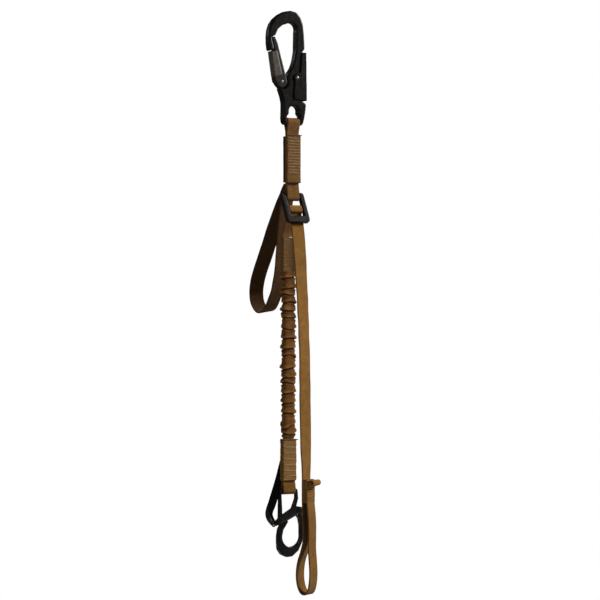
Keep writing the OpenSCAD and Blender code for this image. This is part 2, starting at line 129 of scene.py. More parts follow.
class Piece:
    """Collects surfaces, then makes one mesh with UVs in metres and a shade for each point."""

    def __init__(self):
        self.points, self.faces, self.uvs, self.shades, self.count = [], [], [], [], 0

    def grid(self, g, shade=1.0, wrap=False):
        """Rings of points: g is rings x points x 3, and each ring closes on itself.

        wrap joins the last ring to the first. Without it both ends are capped.
        """
        n, m, _ = g.shape
        u = distances(np.vstack([g[n // 2], g[n // 2][:1]]))
        v = distances(g.mean(1))
        if wrap:
            v = np.append(v, v[-1] + np.linalg.norm(g[0].mean(0) - g[-1].mean(0)))
        i, j = np.meshgrid(np.arange(n if wrap else n - 1), np.arange(m), indexing="ij")
        a, b = i * m + j, i * m + (j + 1) % m
        c, d = ((i + 1) % n) * m + (j + 1) % m, ((i + 1) % n) * m + j
        quads = np.stack([a, b, c, d], -1).reshape(-1, 4) + self.count
        self.faces += quads.tolist()
        uu = np.stack([u[j], u[j + 1], u[j + 1], u[j]], -1)
        vv = np.stack([v[i], v[i], v[i + 1], v[i + 1]], -1)
        self.uvs.append(np.stack([uu, vv], -1).reshape(-1, 2))
        if not wrap:
            for r in (0, n - 1):
                self.faces.append((np.arange(m) + r * m + self.count).tolist())
                ring = g[r]
                across = ring @ unit(ring[m // 4] - ring[3 * m // 4] + 1e-6)
                self.uvs.append(np.column_stack([across, np.full(m, v[r])]))
        self.points.append(g.reshape(-1, 3))
        self.shades.append(np.broadcast_to(np.asarray(shade, float), (n, m)).ravel())
        self.count += n * m
        return self

    def make(self, name, material, sharp=50):
        mesh = bpy.data.meshes.new(name)
        mesh.from_pydata((np.vstack(self.points) * MM).tolist(), [], self.faces)
        layer = mesh.uv_layers.new(name="Strap")
        layer.data.foreach_set("uv", (np.vstack(self.uvs) * MM).astype(np.float32).ravel())
        shade = mesh.attributes.new("shade", "FLOAT", "POINT")
        shade.data.foreach_set("value", np.concatenate(self.shades).astype(np.float32))
        return finished(name, mesh, material, sharp)


def finished(name, mesh, material, sharp):
    bm = bmesh.new()
    bm.from_mesh(mesh)
    bmesh.ops.recalc_face_normals(bm, faces=bm.faces)
    bm.to_mesh(mesh)
    bm.free()
    mesh.polygons.foreach_set("use_smooth", [True] * len(mesh.polygons))
    mesh.set_sharp_from_angle(angle=math.radians(sharp))
    obj = bpy.data.objects.new(name, mesh)
    bpy.context.scene.collection.objects.link(obj)
    mesh.materials.append(material)
    return obj


def place(obj, body, slot, *nodes):
    """obj rides on a body, in place of these CAD nodes."""
    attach(obj, body)
    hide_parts(*nodes)
    return obj


def strap_section(width, thick):
    """Outline of webbing: [across, deep] and how near each point is to an edge, where shade is painted."""
    r = 0.47 * thick
    flat = np.linspace(-width / 2 + r, width / 2 - r, 17)
    turn = np.radians(np.linspace(90, -90, 9)[1:-1])
    end = np.column_stack([width / 2 - r + r * np.cos(turn), thick / 2 * np.sin(turn)])
    front = np.column_stack([flat, np.full(17, thick / 2)])
    outline = np.vstack([front, end, -front, -end])
    edge = bell(width / 2 - np.abs(outline[:, 0]), 1.9)
    return outline, edge


def ribbon_rings(centre, wide, width=STRAP_W, thick=STRAP_T, wobble=0.2, wrap=False, shade=None):
    """Webbing swept along a line: the rings, and a shade for each point."""
    n = len(centre)
    wide = unit(np.broadcast_to(np.asarray(wide, float), (n, 3)))
    if wrap:
        tangent = np.roll(centre, -1, 0) - np.roll(centre, 1, 0)
        fade, wobble = np.ones(n), 0
    else:
        tangent = np.gradient(centre, axis=0)
        fade = np.clip(np.minimum(np.arange(n), np.arange(n)[::-1]) / 8, 0, 1)
    deep = unit(np.cross(unit(tangent), wide))
    wide = unit(np.cross(deep, unit(tangent)))
    outline, edge = strap_section(width, thick)
    bow = drift(n, 14, wobble * 0.7) * fade
    shift = drift(n, 11, wobble) * fade
    swell = 1 + drift(n, 6, 0.006) * fade
    across = outline[None, :, 0] * swell[:, None] + shift[:, None]
    curl = bow[:, None] * (1 - (outline[None, :, 0] / (width / 2)) ** 2)
    lift = outline[None, :, 1] + curl
    g = centre[:, None] + across[..., None] * wide[:, None] + lift[..., None] * deep[:, None]
    # painted shade: darker towards each edge of the strap; the tone also varies at random along it
    tone = (1 - 0.2 * edge)[None] * (1 + drift(n, 9, 0.03))[:, None]
    if shade is not None:
        tone = tone * np.asarray(shade)[:, None]
    return g, tone


def tube_rings(line, radius, sides=8):
    """A round tube along a line, its frame carried along without twist."""
    line = np.asarray(line, float)
    tangent = unit(np.gradient(line, axis=0))
    up = np.zeros_like(line)
    up[0] = unit(np.cross(tangent[0], [0.3, 0.5, 0.81]))
    for i in range(1, len(line)):
        up[i] = unit(up[i - 1] - tangent[i] * (up[i - 1] @ tangent[i]))
    side = np.cross(tangent, up)
    a = np.linspace(0, 2 * math.pi, sides, endpoint=False)
    r = np.broadcast_to(np.asarray(radius, float), (len(line),))[:, None, None]
    ring = np.cos(a)[None, :, None] * up[:, None] + np.sin(a)[None, :, None] * side[:, None]
    return line[:, None] + r * ring


def lathe_rings(profile):
    """Rings about the Y axis from [radius, y]."""
    sides = 40
    a = np.linspace(0, 2 * math.pi, sides, endpoint=False)
    p = np.asarray(profile, float)
    y = np.broadcast_to(p[:, 1:], (len(p), sides))
    return np.stack([p[:, :1] * np.cos(a), y, p[:, :1] * np.sin(a)], -1)


def block_rings(width, thick, top, bottom, centre, plies, rows, pucker=0.28, wave=0.006):
    """A sewn block of plies: grooves down its sides, dimples along its thread, rounded ends."""
    r, side_band, round_end, step = 1.3, 1.6, 1.6, 0.6
    flat = np.linspace(-width / 2 + r, width / 2 - r, 25)
    turn = np.radians(np.linspace(90, -90, 17)[1:-1])
    bulge = r * np.sign(np.cos(turn)) * np.abs(np.cos(turn)) ** 0.5
    end = np.column_stack([width / 2 - r + bulge, thick / 2 * np.sin(turn)])
    front = np.column_stack([flat, np.full(25, thick / 2)])
    outline = np.vstack([front, end, -front, -end])
    depth = outline[:, 1]
    at_side = np.clip((np.abs(outline[:, 0]) - width / 2 + side_band) / side_band, 0, 1)
    groove = np.zeros(len(outline))
    for k in range(1, plies):
        groove += bell(depth - thick * (k / plies - 0.5), 0.42)
    n = max(6, round((top - bottom) / step))
    z = np.linspace(top, bottom, n)
    edge = np.minimum(top - z, z - bottom)
    tuck = 1 - np.clip(edge / round_end, 0, 1)
    squeeze = np.sqrt(np.clip(1 - 0.85 * tuck**2, 0.05, 1))
    dimple = sum((bell(z - row, 0.9) for row in rows), np.zeros(n))
    ripple = drift(n, 5, 0.1)
    pull = (groove * at_side)[None] * 0.55 + dimple[:, None] * at_side[None] * 0.3
    sway = 1 + drift(n, 8, wave)[:, None]
    across = outline[None, :, 0] * sway - np.sign(outline[None, :, 0]) * pull
    face = np.sign(depth) * (1 - at_side)
    deep = depth[None] * squeeze[:, None] - face[None] * (pucker * dimple[:, None])
    deep = deep + face[None] * ripple[:, None]
    across = across * (1 - 0.03 * tuck[:, None])
    level = np.broadcast_to(z[:, None], across.shape)
    g = np.stack([centre[0] + across, centre[1] - deep, level], -1)
    # painted shade: darker in the grooves between the plies, along the stitch dimples and over the rounded
    # ends
    tone = (1 - 0.45 * groove * at_side)[None] * (1 - 0.25 * dimple)[:, None]
    tone = tone * (1 - 0.35 * tuck)[:, None]
    return g, tone


def forged(node, name, material, voxel, rounds, change=None, grow=0.0):
    """The CAD part with its edges rounded over, as forging and tumbling leave them.

    grow moves its surface out. change takes the points and gives them back with their shade.
    """
    bare = bpy.data.objects.new("bare", NODES[node].data.copy())
    bpy.context.scene.collection.objects.link(bare)
    bare.data.materials.clear()
    remesh = bare.modifiers.new("remesh", "REMESH")
    remesh.mode, remesh.voxel_size, remesh.adaptivity = "VOXEL", voxel * MM, 0
    soften = bare.modifiers.new("soften", "SMOOTH")
    soften.factor, soften.iterations = 0.5, rounds
    graph = bpy.context.evaluated_depsgraph_get()
    mesh = bpy.data.meshes.new_from_object(bare.evaluated_get(graph))
    bpy.data.objects.remove(bare)
    co = np.zeros(len(mesh.vertices) * 3, np.float32)
    mesh.vertices.foreach_get("co", co)
    normals = np.zeros_like(co)
    mesh.vertices.foreach_get("normal", normals)
    p = co.reshape(-1, 3).astype(float) / MM + normals.reshape(-1, 3) * grow
    p, tone = change(p) if change else (p, np.ones(len(p)))
    mesh.vertices.foreach_set("co", (p * MM).astype(np.float32).ravel())
    shade = mesh.attributes.new("shade", "FLOAT", "POINT")
    shade.data.foreach_set("value", tone.astype(np.float32))
    mesh.materials.clear()
    return finished(name, mesh, material, 180)


# ---- materials ----


def wire(tree, kind, inputs=None, **settings):
    n = tree.nodes.new(kind)
    for k, value in settings.items():
        setattr(n, k, value)
    for k, value in (inputs or {}).items():
        if isinstance(value, bpy.types.NodeSocket):
            tree.links.new(value, n.inputs[k])
        else:
            n.inputs[k].default_value = value
    return n


def sums(tree, operation, a, b=0.0):
    return wire(tree, "ShaderNodeMath", {0: a, 1: b}, operation=operation).outputs[0]


def mixed(tree, factor, a, b, blend="MIX"):
    n = wire(tree, "ShaderNodeMix", data_type="RGBA", blend_type=blend)
    for k, value in ((0, factor), (6, a), (7, b)):
        if isinstance(value, bpy.types.NodeSocket):
            tree.links.new(value, n.inputs[k])
        else:
            n.inputs[k].default_value = value if k == 0 else (*value, 1)
    return n.outputs[2]


def speckle(tree, scale, detail, rough):
    """Noise fixed to the piece."""
    at = wire(tree, "ShaderNodeTexCoord").outputs["Object"]
    inputs = {"Vector": at, "Scale": scale, "Detail": detail, "Roughness": rough}
    return wire(tree, "ShaderNodeTexNoise", inputs).outputs["Fac"]


def ranged(tree, value, low, high, new_low, new_high):
    """The value, with low to high stretched over new_low to new_high."""
    inputs = {0: value, 1: low, 2: high, 3: new_low, 4: new_high}
    return wire(tree, "ShaderNodeMapRange", inputs).outputs[0]


def arches(tree, value):
    """0 at each whole number of the value, and 1 half-way between them."""
    return sums(tree, "SINE", sums(tree, "MULTIPLY", sums(tree, "FRACT", value), math.pi))


def start_material(name):
    m = bpy.data.materials.new(name)
    m.use_nodes = True
    tree = m.node_tree
    return m, tree, tree.nodes["Principled BSDF"]


def tinted(tree, colour, level):
    """The colour multiplied by a level of grey."""
    grey = wire(tree, "ShaderNodeCombineColor", {0: level, 1: level, 2: level}).outputs[0]
    return mixed(tree, 1.0, colour, grey, "MULTIPLY")


def coloured(tree, shader, colour):
    """Gives the shader this colour, darkened or lightened by the mesh's shade."""
    shade = wire(tree, "ShaderNodeAttribute", attribute_name="shade").outputs["Fac"]
    tree.links.new(tinted(tree, colour, shade), shader.inputs["Base Color"])


def bumped(tree, shader, strength, depth, height):
    inputs = {"Strength": strength, "Distance": depth * MM, "Height": height}
    tree.links.new(wire(tree, "ShaderNodeBump", inputs).outputs[0], shader.inputs["Normal"])


def cloth(name, light, dark, column=1.15, row=1.5, depth=0.35):
    """Woven nylon: staggered yarns in columns along the strap."""
    m, tree, shader = start_material(name)
    uv = wire(tree, "ShaderNodeSeparateXYZ", {0: wire(tree, "ShaderNodeTexCoord").outputs["UV"]})
    p = sums(tree, "DIVIDE", uv.outputs[0], column * MM)
    q = sums(tree, "DIVIDE", uv.outputs[1], row * MM)
    stagger = sums(tree, "MULTIPLY", sums(tree, "FLOOR", p), 0.5)
    yarn = arches(tree, sums(tree, "ADD", q, stagger))
    crown = sums(tree, "ADD", sums(tree, "MULTIPLY", yarn, 0.55), 0.45)
    height = sums(tree, "MULTIPLY", sums(tree, "POWER", arches(tree, p), 0.7), crown)
    cover = sums(tree, "MINIMUM", sums(tree, "MULTIPLY", height, 1.25), 1.0)
    worn = ranged(tree, speckle(tree, 90, 4, 0.65), 0.3, 0.7, 0.8, 1.16)
    yarns = ranged(tree, speckle(tree, 900, 2, 0.5), 0.3, 0.7, 0.86, 1.12)
    weave = mixed(tree, cover, dark, light)
    coloured(tree, shader, tinted(tree, weave, sums(tree, "MULTIPLY", worn, yarns)))
    fuzz = sums(tree, "MULTIPLY", speckle(tree, 2600, 2, 0.6), 0.25)
    bumped(tree, shader, 0.75, depth, sums(tree, "ADD", height, fuzz))
    shader.inputs["Roughness"].default_value = 0.9
    shader.inputs["Sheen Weight"].default_value = 0.06
    shader.inputs["Sheen Roughness"].default_value = 0.5
    shader.inputs["Specular IOR Level"].default_value = 0.12
    return m


def twine(name, colour, rough=0.7):
    """Twisted thread or cord."""
    lay_length, lay_width = 0.9 * MM, 1.6 * MM
    m, tree, shader = start_material(name)
    uv = wire(tree, "ShaderNodeSeparateXYZ", {0: wire(tree, "ShaderNodeTexCoord").outputs["UV"]})
    along = sums(tree, "DIVIDE", uv.outputs[1], lay_length)
    turn = sums(tree, "ADD", along, sums(tree, "DIVIDE", uv.outputs[0], lay_width))
    lay = sums(tree, "SINE", sums(tree, "MULTIPLY", turn, 2 * math.pi))
    coloured(tree, shader, tinted(tree, colour, ranged(tree, lay, -1.0, 1.0, 0.72, 1.1)))
    bumped(tree, shader, 0.5, 0.15, lay)
    shader.inputs["Roughness"].default_value = rough
    shader.inputs["Sheen Weight"].default_value = 0.15
    return m


def metal(name, colour, worn, rough, metallic=0.0, bump=0.05, wear=0.62, specular=0.5):
    """Painted or bare forged metal: grain, uneven gloss, and thin worn patches."""
    m, tree, shader = start_material(name)
    broad = speckle(tree, 160, 5, 0.6)
    fine = speckle(tree, 1500, 3, 0.6)

    def blend_of(coarse, small):
        a, b = sums(tree, "MULTIPLY", broad, coarse), sums(tree, "MULTIPLY", fine, small)
        return sums(tree, "ADD", a, b)

    patch = ranged(tree, blend_of(0.7, 0.3), wear, wear + 0.12, 0.0, 1.0)
    coloured(tree, shader, mixed(tree, patch, colour, worn))
    tree.links.new(ranged(tree, broad, 0.3, 0.7, *rough), shader.inputs["Roughness"])
    bumped(tree, shader, 0.5, bump, blend_of(0.6, 0.4))
    shader.inputs["Metallic"].default_value = metallic
    shader.inputs["Specular IOR Level"].default_value = specular
    return m


WEBBING = cloth("Webbing", (0.29, 0.138, 0.026), (0.1, 0.045, 0.009))
# the webbing again, darker: a copy in painted shade for the rear loop and its ends
WEBBING_SHADED = cloth("WebbingShaded", (0.1, 0.044, 0.0105), (0.036, 0.015, 0.004))
SLEEVE = cloth("SleeveCloth", (0.24, 0.1, 0.02), (0.08, 0.033, 0.007), column=0.9, row=1.1, depth=0.25)
SPLICE = cloth("SpliceCloth", (0.225, 0.108, 0.028), (0.08, 0.038, 0.01))
SPLICE_PALE = cloth("SplicePale", (0.36, 0.185, 0.055), (0.13, 0.066, 0.02))
TAB = cloth("TabCloth", (0.01, 0.0085, 0.008), (0.004, 0.0035, 0.003))
THREAD = twine("Thread", (0.5, 0.355, 0.19))
THREAD_BROWN = twine("ThreadBrown", (0.2, 0.1, 0.03))
THREAD_DARK = twine("ThreadDark", (0.04, 0.02, 0.008))
ELASTIC = twine("Elastic", (0.035, 0.03, 0.026), 0.8)
BLACK = metal("HookBlack", (0.005, 0.0042, 0.004), (0.013, 0.0105, 0.009), (0.3, 0.44), specular=0.16)
GATE = metal(
    "GateGrey", (0.055, 0.046, 0.036), (0.13, 0.11, 0.088), (0.38, 0.52), wear=0.56, specular=0.25
)
BUCKLE = metal(
    "BuckleBlack", (0.006, 0.0045, 0.0042), (0.014, 0.01, 0.008), (0.32, 0.46), specular=0.2
)
SHACKLE = metal(
    "ShackleBlack", (0.0055, 0.004, 0.0036), (0.016, 0.012, 0.01), (0.26, 0.4), specular=0.35
)
STEEL = metal(
    "RivetSteel", (0.3, 0.28, 0.26), (0.16, 0.145, 0.13), (0.3, 0.45), metallic=1.0, bump=0.02
)
SPRING = metal(
    "SpringSteel", (0.42, 0.42, 0.42), (0.3, 0.3, 0.3), (0.25, 0.4), metallic=1.0, bump=0.02
)


# ---- hook ----


def raise_gate_strip(p):
    """The gate's outer strip stands a little proud and is paler than the rest of the gate, which darkens
    towards its top end.
    """
    lean = math.radians(13.5)
    x, z = p[:, 0] - GATE_PIVOT[0], p[:, 2] - GATE_PIVOT[1]
    across = x * math.cos(lean) + z * math.sin(lean)
    along = z * math.cos(lean) - x * math.sin(lean)
    step = 1 / (1 + np.exp((across - 2.6) / 0.35))
    part = step / (1 + np.exp((12 - along) / 0.8)) / (1 + np.exp((along - 54) / 0.8))
    p = p.copy()
    p[:, 1] += np.sign(p[:, 1]) * 0.55 * part
    dark_end = 1 / (1 + np.exp((along - 56) / 1.0))
    return p, (0.12 + 1.2 * part) * (0.3 + 0.7 * dark_end)


def hook():
    body = forged("hook_body", "hook_body_v", BLACK, 0.8, 20, grow=0.35)
    place(body, "hook", "hook_black", "hook_body")
    gate = forged("hook_gate", "hook_gate_v", GATE, 0.6, 9, raise_gate_strip, 0.1)
    place(gate, "gate", "gate_grey", "hook_gate")
    lever = forged("lock_lever", "lock_lever_v", BLACK, 0.5, 8)
    place(lever, "lever", "hook_black", "lock_lever")


def rivet(name, at, half, head_r, node):
    """A riveted pin with two domed heads, each with a shallow ring pressed round its middle."""
    head_h, shank_r = 1.1, 2.3
    dome = [
        [0.02, 1.0], [0.9, 0.97], [1.2, 0.86], [1.5, 0.92], [head_r * 0.72, 0.82],
        [head_r * 0.92, 0.55], [head_r, 0.25], [head_r * 0.985, 0.0]]
    top = [[r, half + h * head_h] for r, h in dome]
    profile = top + [[shank_r, half], [shank_r, -half]] + [[r, -y] for r, y in top[::-1]]
    piece = Piece().grid(lathe_rings(profile) + [at[0], 0, at[1]])
    place(piece.make(name, STEEL, 40), "hook", "rivet_steel", node)


def coil(name, at, r, wire_r, turns, y0, y1, node, legs):
    """A small torsion spring about the Y axis with two straight legs."""
    a = np.linspace(0, turns * 2 * math.pi, int(turns * 26))
    y = np.linspace(y0, y1, len(a))
    line = np.column_stack([at[0] + r * np.cos(a), y, at[1] + r * np.sin(a)])
    for end, leg in zip((0, -1), legs):
        tip = line[end] + np.array([leg[0], 0, leg[1]])
        line = np.vstack([tip, line]) if end == 0 else np.vstack([line, tip])
    piece = Piece().grid(tube_rings(resampled(line, 0.6), wire_r))
    place(piece.make(name, SPRING), "hook", "spring_steel", node)


def hook_fittings():
    rivet("gate_pin_v", GATE_PIVOT, 6.6, 2.7, "gate_pin")
    rivet("lever_pin_v", LEVER_PIVOT, 9.1, 2.9, "lever_pin")
    coil("gate_spring_v", GATE_PIVOT, 4, 0.5, 2.2, -2.8, -1.5, "gate_spring", [(-1, 3), (2, 2)])
    coil("lever_spring_v", LEVER_PIVOT, 4.4, 0.7, 2.2, -6.2, -4.2, "lever_spring", [(0, 3), (2, -2)])


# ---- upper splice ----


def upper_webbing():
    route = np.vstack([
        arc(EYE_BAR, 6.6, 90, 205, 16),
        [[-3.4, -173], [-1.7, -178], [-1.4, -183], [-1.4, -269], [-1.9, -274], [-3.4, -283]],
        arc(BUCKLE_BAR, 4.6, 160, 380, 22),
        [[3.4, -283], [1.9, -274], [1.4, -269], [1.4, -183], [1.7, -178], [3.4, -173]],
        arc(EYE_BAR, 6.6, -25, 82, 14),
    ])
    line = in_yz(resampled(np.vstack([route, route[:1]]), 1.5)[:-1])
    g, tone = ribbon_rings(line, (1, 0, 0), wrap=True)
    obj = Piece().grid(g, shade=tone, wrap=True).make("upper_webbing_v", SPLICE)
    place(obj, "tether", "webbing", "upper_webbing")


def stitched(
    name, body, node, rows, y, width, material, radius=0.42, zig=0.75, tilt=1.1, fade=0.0, turn=None
):
    """Rows of thread across the webbing: a zigzag that dips into the cloth at each stitch.

    fade darkens its right side with a painted shadow. turn takes the rows to where they lie, if not straight
    down the strap.
    """
    pitch, looseness = 2.3, 0.06
    piece = Piece()
    for k, z in enumerate(rows):
        count = int(width / pitch) * 2
        x = np.linspace(-width / 2, width / 2, count * 4 + 1)
        phase = np.arange(len(x)) / 4
        slope = math.tan(math.radians(tilt)) * (1 if k % 2 else -1)
        dip = 0.35 * np.abs(np.sin(math.pi * phase / 2 + math.pi / 4)) - 0.2
        zigzag = zig * (2 / math.pi) * np.arcsin(np.sin(math.pi * phase)) * 0.8
        height = z + zigzag + slope * x + RNG.normal(0, looseness, len(x))
        line = np.column_stack([x, y - dip, height])
        # the fade term is a painted shadow over the right side of the rows
        tone = (0.86 + 0.28 * bell((phase % 1) - 0.5, 0.4)) * (1 - fade * np.clip(x / width + 0.7, 0, 1))
        if turn is not None:
            line = turn(line)
        else:
            line[:, 0] += STRAP_X
        piece.grid(tube_rings(line, radius, 6), shade=tone[:, None])
    return place(piece.make(name, material), body, "thread", node)


def seam_rings(left, right, y, z, radius, sway):
    """A thick line of thread laid across the webbing."""
    x = np.linspace(left, right, 60)
    height = z + sway[0] * np.sin(x * sway[1])
    line = np.column_stack([x + STRAP_X, y + 0.25 * np.sin(x * 2.7) ** 2, height])
    return tube_rings(line, radius, 8)


def upper_splice():
    rows = np.linspace(-190, -250, 13)
    g, tone = block_rings(28, 4.6, -183.6, -268.4, (STRAP_X, -5.0), 2, [*rows, -185, -267])
    overlay = Piece().grid(g, shade=tone).make("upper_overlay_v", SPLICE)
    place(overlay, "tether", "webbing", "upper_overlay")
    stitched("upper_stitching_v", "tether", "upper_stitching", rows, -7.35, 23, THREAD, tilt=2.2)
    piece = Piece()
    for z, reach, radius in ((-185, 1.2, 0.8), (-267, -0.4, 0.5)):
        piece.grid(seam_rings(-14.2, 14.2 + reach, -7.45, z, radius, (0.25, 0.9)), shade=0.9)
    seam = piece.make("upper_seams_v", THREAD_DARK)
    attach(seam, "tether")
    # the loop's ends behind the splice: painted shade, from the shaded webbing copy and a further 0.9
    piece = Piece()
    for k, y in enumerate((4.0, 6.7)):
        line = in_yz(resampled(np.array([[y, -187.6 + k], [y, -266.4 - k]]), 1.5))
        g, tone = ribbon_rings(line, (1, 0, 0), 28 - 0.6 * k, 2.6, 0.1)
        piece.grid(g, shade=tone * 0.9)
    place(piece.make("rear_loop_ends_v", WEBBING_SHADED), "tether", "webbing", "rear_loop_ends")


REAR_ROUTE = [
    [8.6, -272], [30, -300], [55, -333], [79, -368], [99, -398], [114, -421], [125, -441], [129.5, -458],
    [125, -477], [111, -490.5], [93, -493.5], [75, -485], [60.5, -467], [49.5, -447], [41, -424],
    [35.5, -395], [31.5, -360], [25.5, -325], [17, -295], [8.4, -273.4]]


def rear_loop():
    line = in_yz(curve(REAR_ROUTE, 1.8))
    outer = np.clip(np.linspace(0, 1, len(line)) / 0.56, 0, 1)
    twist = np.radians(30) * np.sin(math.pi * outer) ** 0.7
    deep = np.cross(unit(np.gradient(line, axis=0)), [1.0, 0, 0])
    wide = np.cos(twist)[:, None] * np.array([1.0, 0, 0]) + np.sin(twist)[:, None] * deep
    g, tone = ribbon_rings(line, wide, wobble=0.25)
    # painted shade: the outer part of the loop darkened further, on top of the shaded webbing copy; the roll
    # at its top is also darkened, at 0.8
    piece = Piece().grid(g, shade=tone * (1 - 0.45 * np.sin(math.pi * outer) ** 0.5)[:, None])
    roll = np.column_stack([np.linspace(-12.7, 12.7, 24) + STRAP_X, np.full(24, 7.0), np.full(24, -271.5)])
    radius = 2.6 * np.sqrt(np.clip(1 - (np.linspace(-1, 1, 24) ** 12) * 0.6, 0, 1))
    piece.grid(tube_rings(roll, radius, 16), shade=0.8)
    obj = place(piece.make("rear_loop_v", WEBBING_SHADED), "rear_loop", "webbing", "rear_loop")


# ---- buckle and strap ----

# in the buckle's own frame: [down from its top bar, forward]
WRAP = [
    [25, -8.2], [24, -6.6], [21.6, -5.2], [19, -4.2], [17.6, -3], [17, -1.4], [17.1, 1], [18, 2.7],
    [19.6, 3.4], [23, 3.45], [26.4, 3.4], [28, 2.7], [28.7, 1.4], [29.3, -0.8], [30.6, -2.8],
    [33, -4.2], [37, -4.8], [43, -4.8], [50, -4.8]]
LOAD = [[-4, -320.4], [-1.5, -326.5], [3.4, -337], [8.9, -348], [12.5, -356], [13, -362.6]]
TAIL = [
    [-18.6, -341.1, 0], [-21, -352, 0], [-25, -374, 2], [-29, -402, 5], [-33, -438, 9], [-37, -480, 12],
    [-41, -530, 14], [-44, -585, 14], [-46, -645, 12], [-47, -700, 13], [-48, -735, 17], [-49, -765, 24],
    [-49, -783.7, 28]]
HAND = [
    [0, -800], [0, -812], [0, -824.3], [-0.4, -842], [-1.6, -868], [-1, -890], [3.2, -908], [8.8, -924],
    [12, -940], [12.4, -955], [10, -969], [5, -979], [-1, -982.6], [-7, -981], [-12, -972], [-14.8, -957],
    [-15, -940], [-13.4, -922], [-12, -905], [-12.2, -884], [-12.4, -862], [-11, -842], [-9, -824.3],
    [-8.6, -812]]
TAIL_FACE = -10.5
TAIL_AXIS = np.array([6.0, -49.0])
TAIL_TURN_DEG = 28.0
TAIL_TURN = math.radians(TAIL_TURN_DEG)


def buckle():
    bars = forged("buckle_frame", "buckle_frame_v", BUCKLE, 0.5, 22)
    place(bars, "buckle", "buckle_black", "buckle_frame")
    p = curve(WRAP, 1.0)
    y, z = -p[:, 1], -p[:, 0]
    c, s = math.cos(BUCKLE_TIP), math.sin(BUCKLE_TIP)
    world = np.column_stack([y * c + z * s, BUCKLE_BAR[1] + z * c - y * s])
    g, tone = ribbon_rings(in_yz(world), (1, 0, 0), wobble=0.05)
    wrap = Piece().grid(g, shade=tone * 1.05).make("strap_wrap_v", WEBBING)
    place(wrap, "buckle", "webbing", "strap_wrap")


def load_strap():
    g, tone = ribbon_rings(in_yz(curve(LOAD, 1.5)), (1, 0, 0), wobble=0.1)
    obj = Piece().grid(g, shade=tone).make("load_strap_v", SPLICE)
    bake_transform(obj)
    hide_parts("load_strap")


def in_tail(p):
    """From the tail's own frame, x across and y deep, to the row frame."""
    x, y = p[..., 0], p[..., 1]
    c, s = math.cos(TAIL_TURN), math.sin(TAIL_TURN)
    return np.stack([TAIL_AXIS[0] + c * x - s * y, TAIL_AXIS[1] + s * x + c * y, p[..., 2]], -1)


def tail_and_hand_loop():
    """One length of strap: down from the buckle, through its splice and round the hand loop."""
    tail = np.array(TAIL, float)
    hand = np.array(HAND, float)
    hand_world = in_tail(np.column_stack([np.zeros(len(hand)), hand]))
    points = np.vstack([
        np.column_stack([np.full(len(tail), STRAP_X), tail]),
        np.column_stack([hand_world, np.full(len(hand), TAIL_TURN_DEG)]),
    ])
    line = curve(points, 2.0)
    turn = np.radians(line[:, 3])
    wide = np.column_stack([np.cos(turn), np.sin(turn), np.zeros(len(turn))])
    shadow = np.clip((-800 - line[:, 2]) / 50, 0, 1)
    g, tone = ribbon_rings(line[:, :3], wide, wobble=0.3, shade=1 - 0.2 * shadow)
    obj = Piece().grid(g, shade=tone).make("tail_strap_v", WEBBING)
    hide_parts("tail_strap", "hand_loop")
    return obj, line[:, :3] * MM


def tail_end():
    rows = np.linspace(-801, -819, 5)
    g, tone = block_rings(26.4, 11.8, -783.8, -824.2, (0, -4.6), 4, [*rows, -786])
    piece = Piece().grid(in_tail(g), shade=tone * 1.05)
    splice = place(piece.make("tail_splice_v", WEBBING), "tail_end", "webbing", "tail_splice")
    stitching = stitched(
        "tail_stitching_v", "tail_end", "tail_stitching", rows, TAIL_FACE - 0.15, 21, THREAD_BROWN,
        turn=in_tail)
    # the stopper: webbing folded round on itself and sewn, standing out in front
    fold = np.vstack([
        [[TAIL_FACE + 0.2, -786.9], [-13.5, -786.2], [-17.6, -785.2]],
        arc((-18.3, -788.9), 3.8, 80, 278, 13),
        [[-14, -794.0], [TAIL_FACE + 0.2, -795.6]]])
    core = np.array([[TAIL_FACE + 0.2, -791.3], [-14, -790.4], [-18.4, -789.2]])
    piece = Piece()
    for route, thick, width in ((fold, 2.6, 24.4), (core, 4.2, 23.6)):
        line = resampled(np.asarray(route, float), 0.9)
        centre = np.column_stack([np.zeros(len(line)), line])
        g, tone = ribbon_rings(centre, (1, 0, 0), width, thick, 0.05)
        piece.grid(in_tail(g), shade=tone * 1.15)
    stopper = place(piece.make("tail_stopper_v", WEBBING), "tail_end", "webbing", "tail_stopper")
    return [splice, stitching, stopper]


def tail():
    strap, path = tail_and_hand_loop()
    pieces = tail_end()
    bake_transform(strap)


# ---- absorber ----


def absorber_top():
    rows = np.linspace(-368, -419.5, 8)
    g, tone = block_rings(26, 10, -363.2, -424.6, (STRAP_X, ABSORBER_Y), 4, rows, pucker=0.35)
    shadow = np.clip((g[..., 0] - STRAP_X + 4) / 12, 0, 1) * (g[..., 1] < ABSORBER_Y)
    block = Piece().grid(g, shade=tone * (1 - 0.55 * shadow)).make("absorber_top_v", SPLICE)
    place(block, "absorber_top", "webbing", "absorber_top_block")
    stitched(
        "absorber_top_stitching_v", "absorber_top", "absorber_top_stitching", rows,
        ABSORBER_Y - 5.05, 24.6, THREAD, tilt=1.6, fade=0.85)


def sleeve_pleats():
    """Where each crease lies down the sleeve, its tilt, its bow, the side it bulges to and its size."""
    first, last, spacing = -433.0, -712, 16.4
    z = [first]
    while z[-1] > last:
        z.append(z[-1] - spacing * RNG.uniform(0.74, 1.26))
    z = np.array(z[:-1])
    count = len(z)
    side = np.where(np.arange(count) % 2, 1, -1) * np.where(RNG.random(count) < 0.2, -1, 1)
    return zip(z, RNG.normal(0, 2.0, count), RNG.normal(0, 1.3, count), side, RNG.uniform(0.75, 1.25, count))


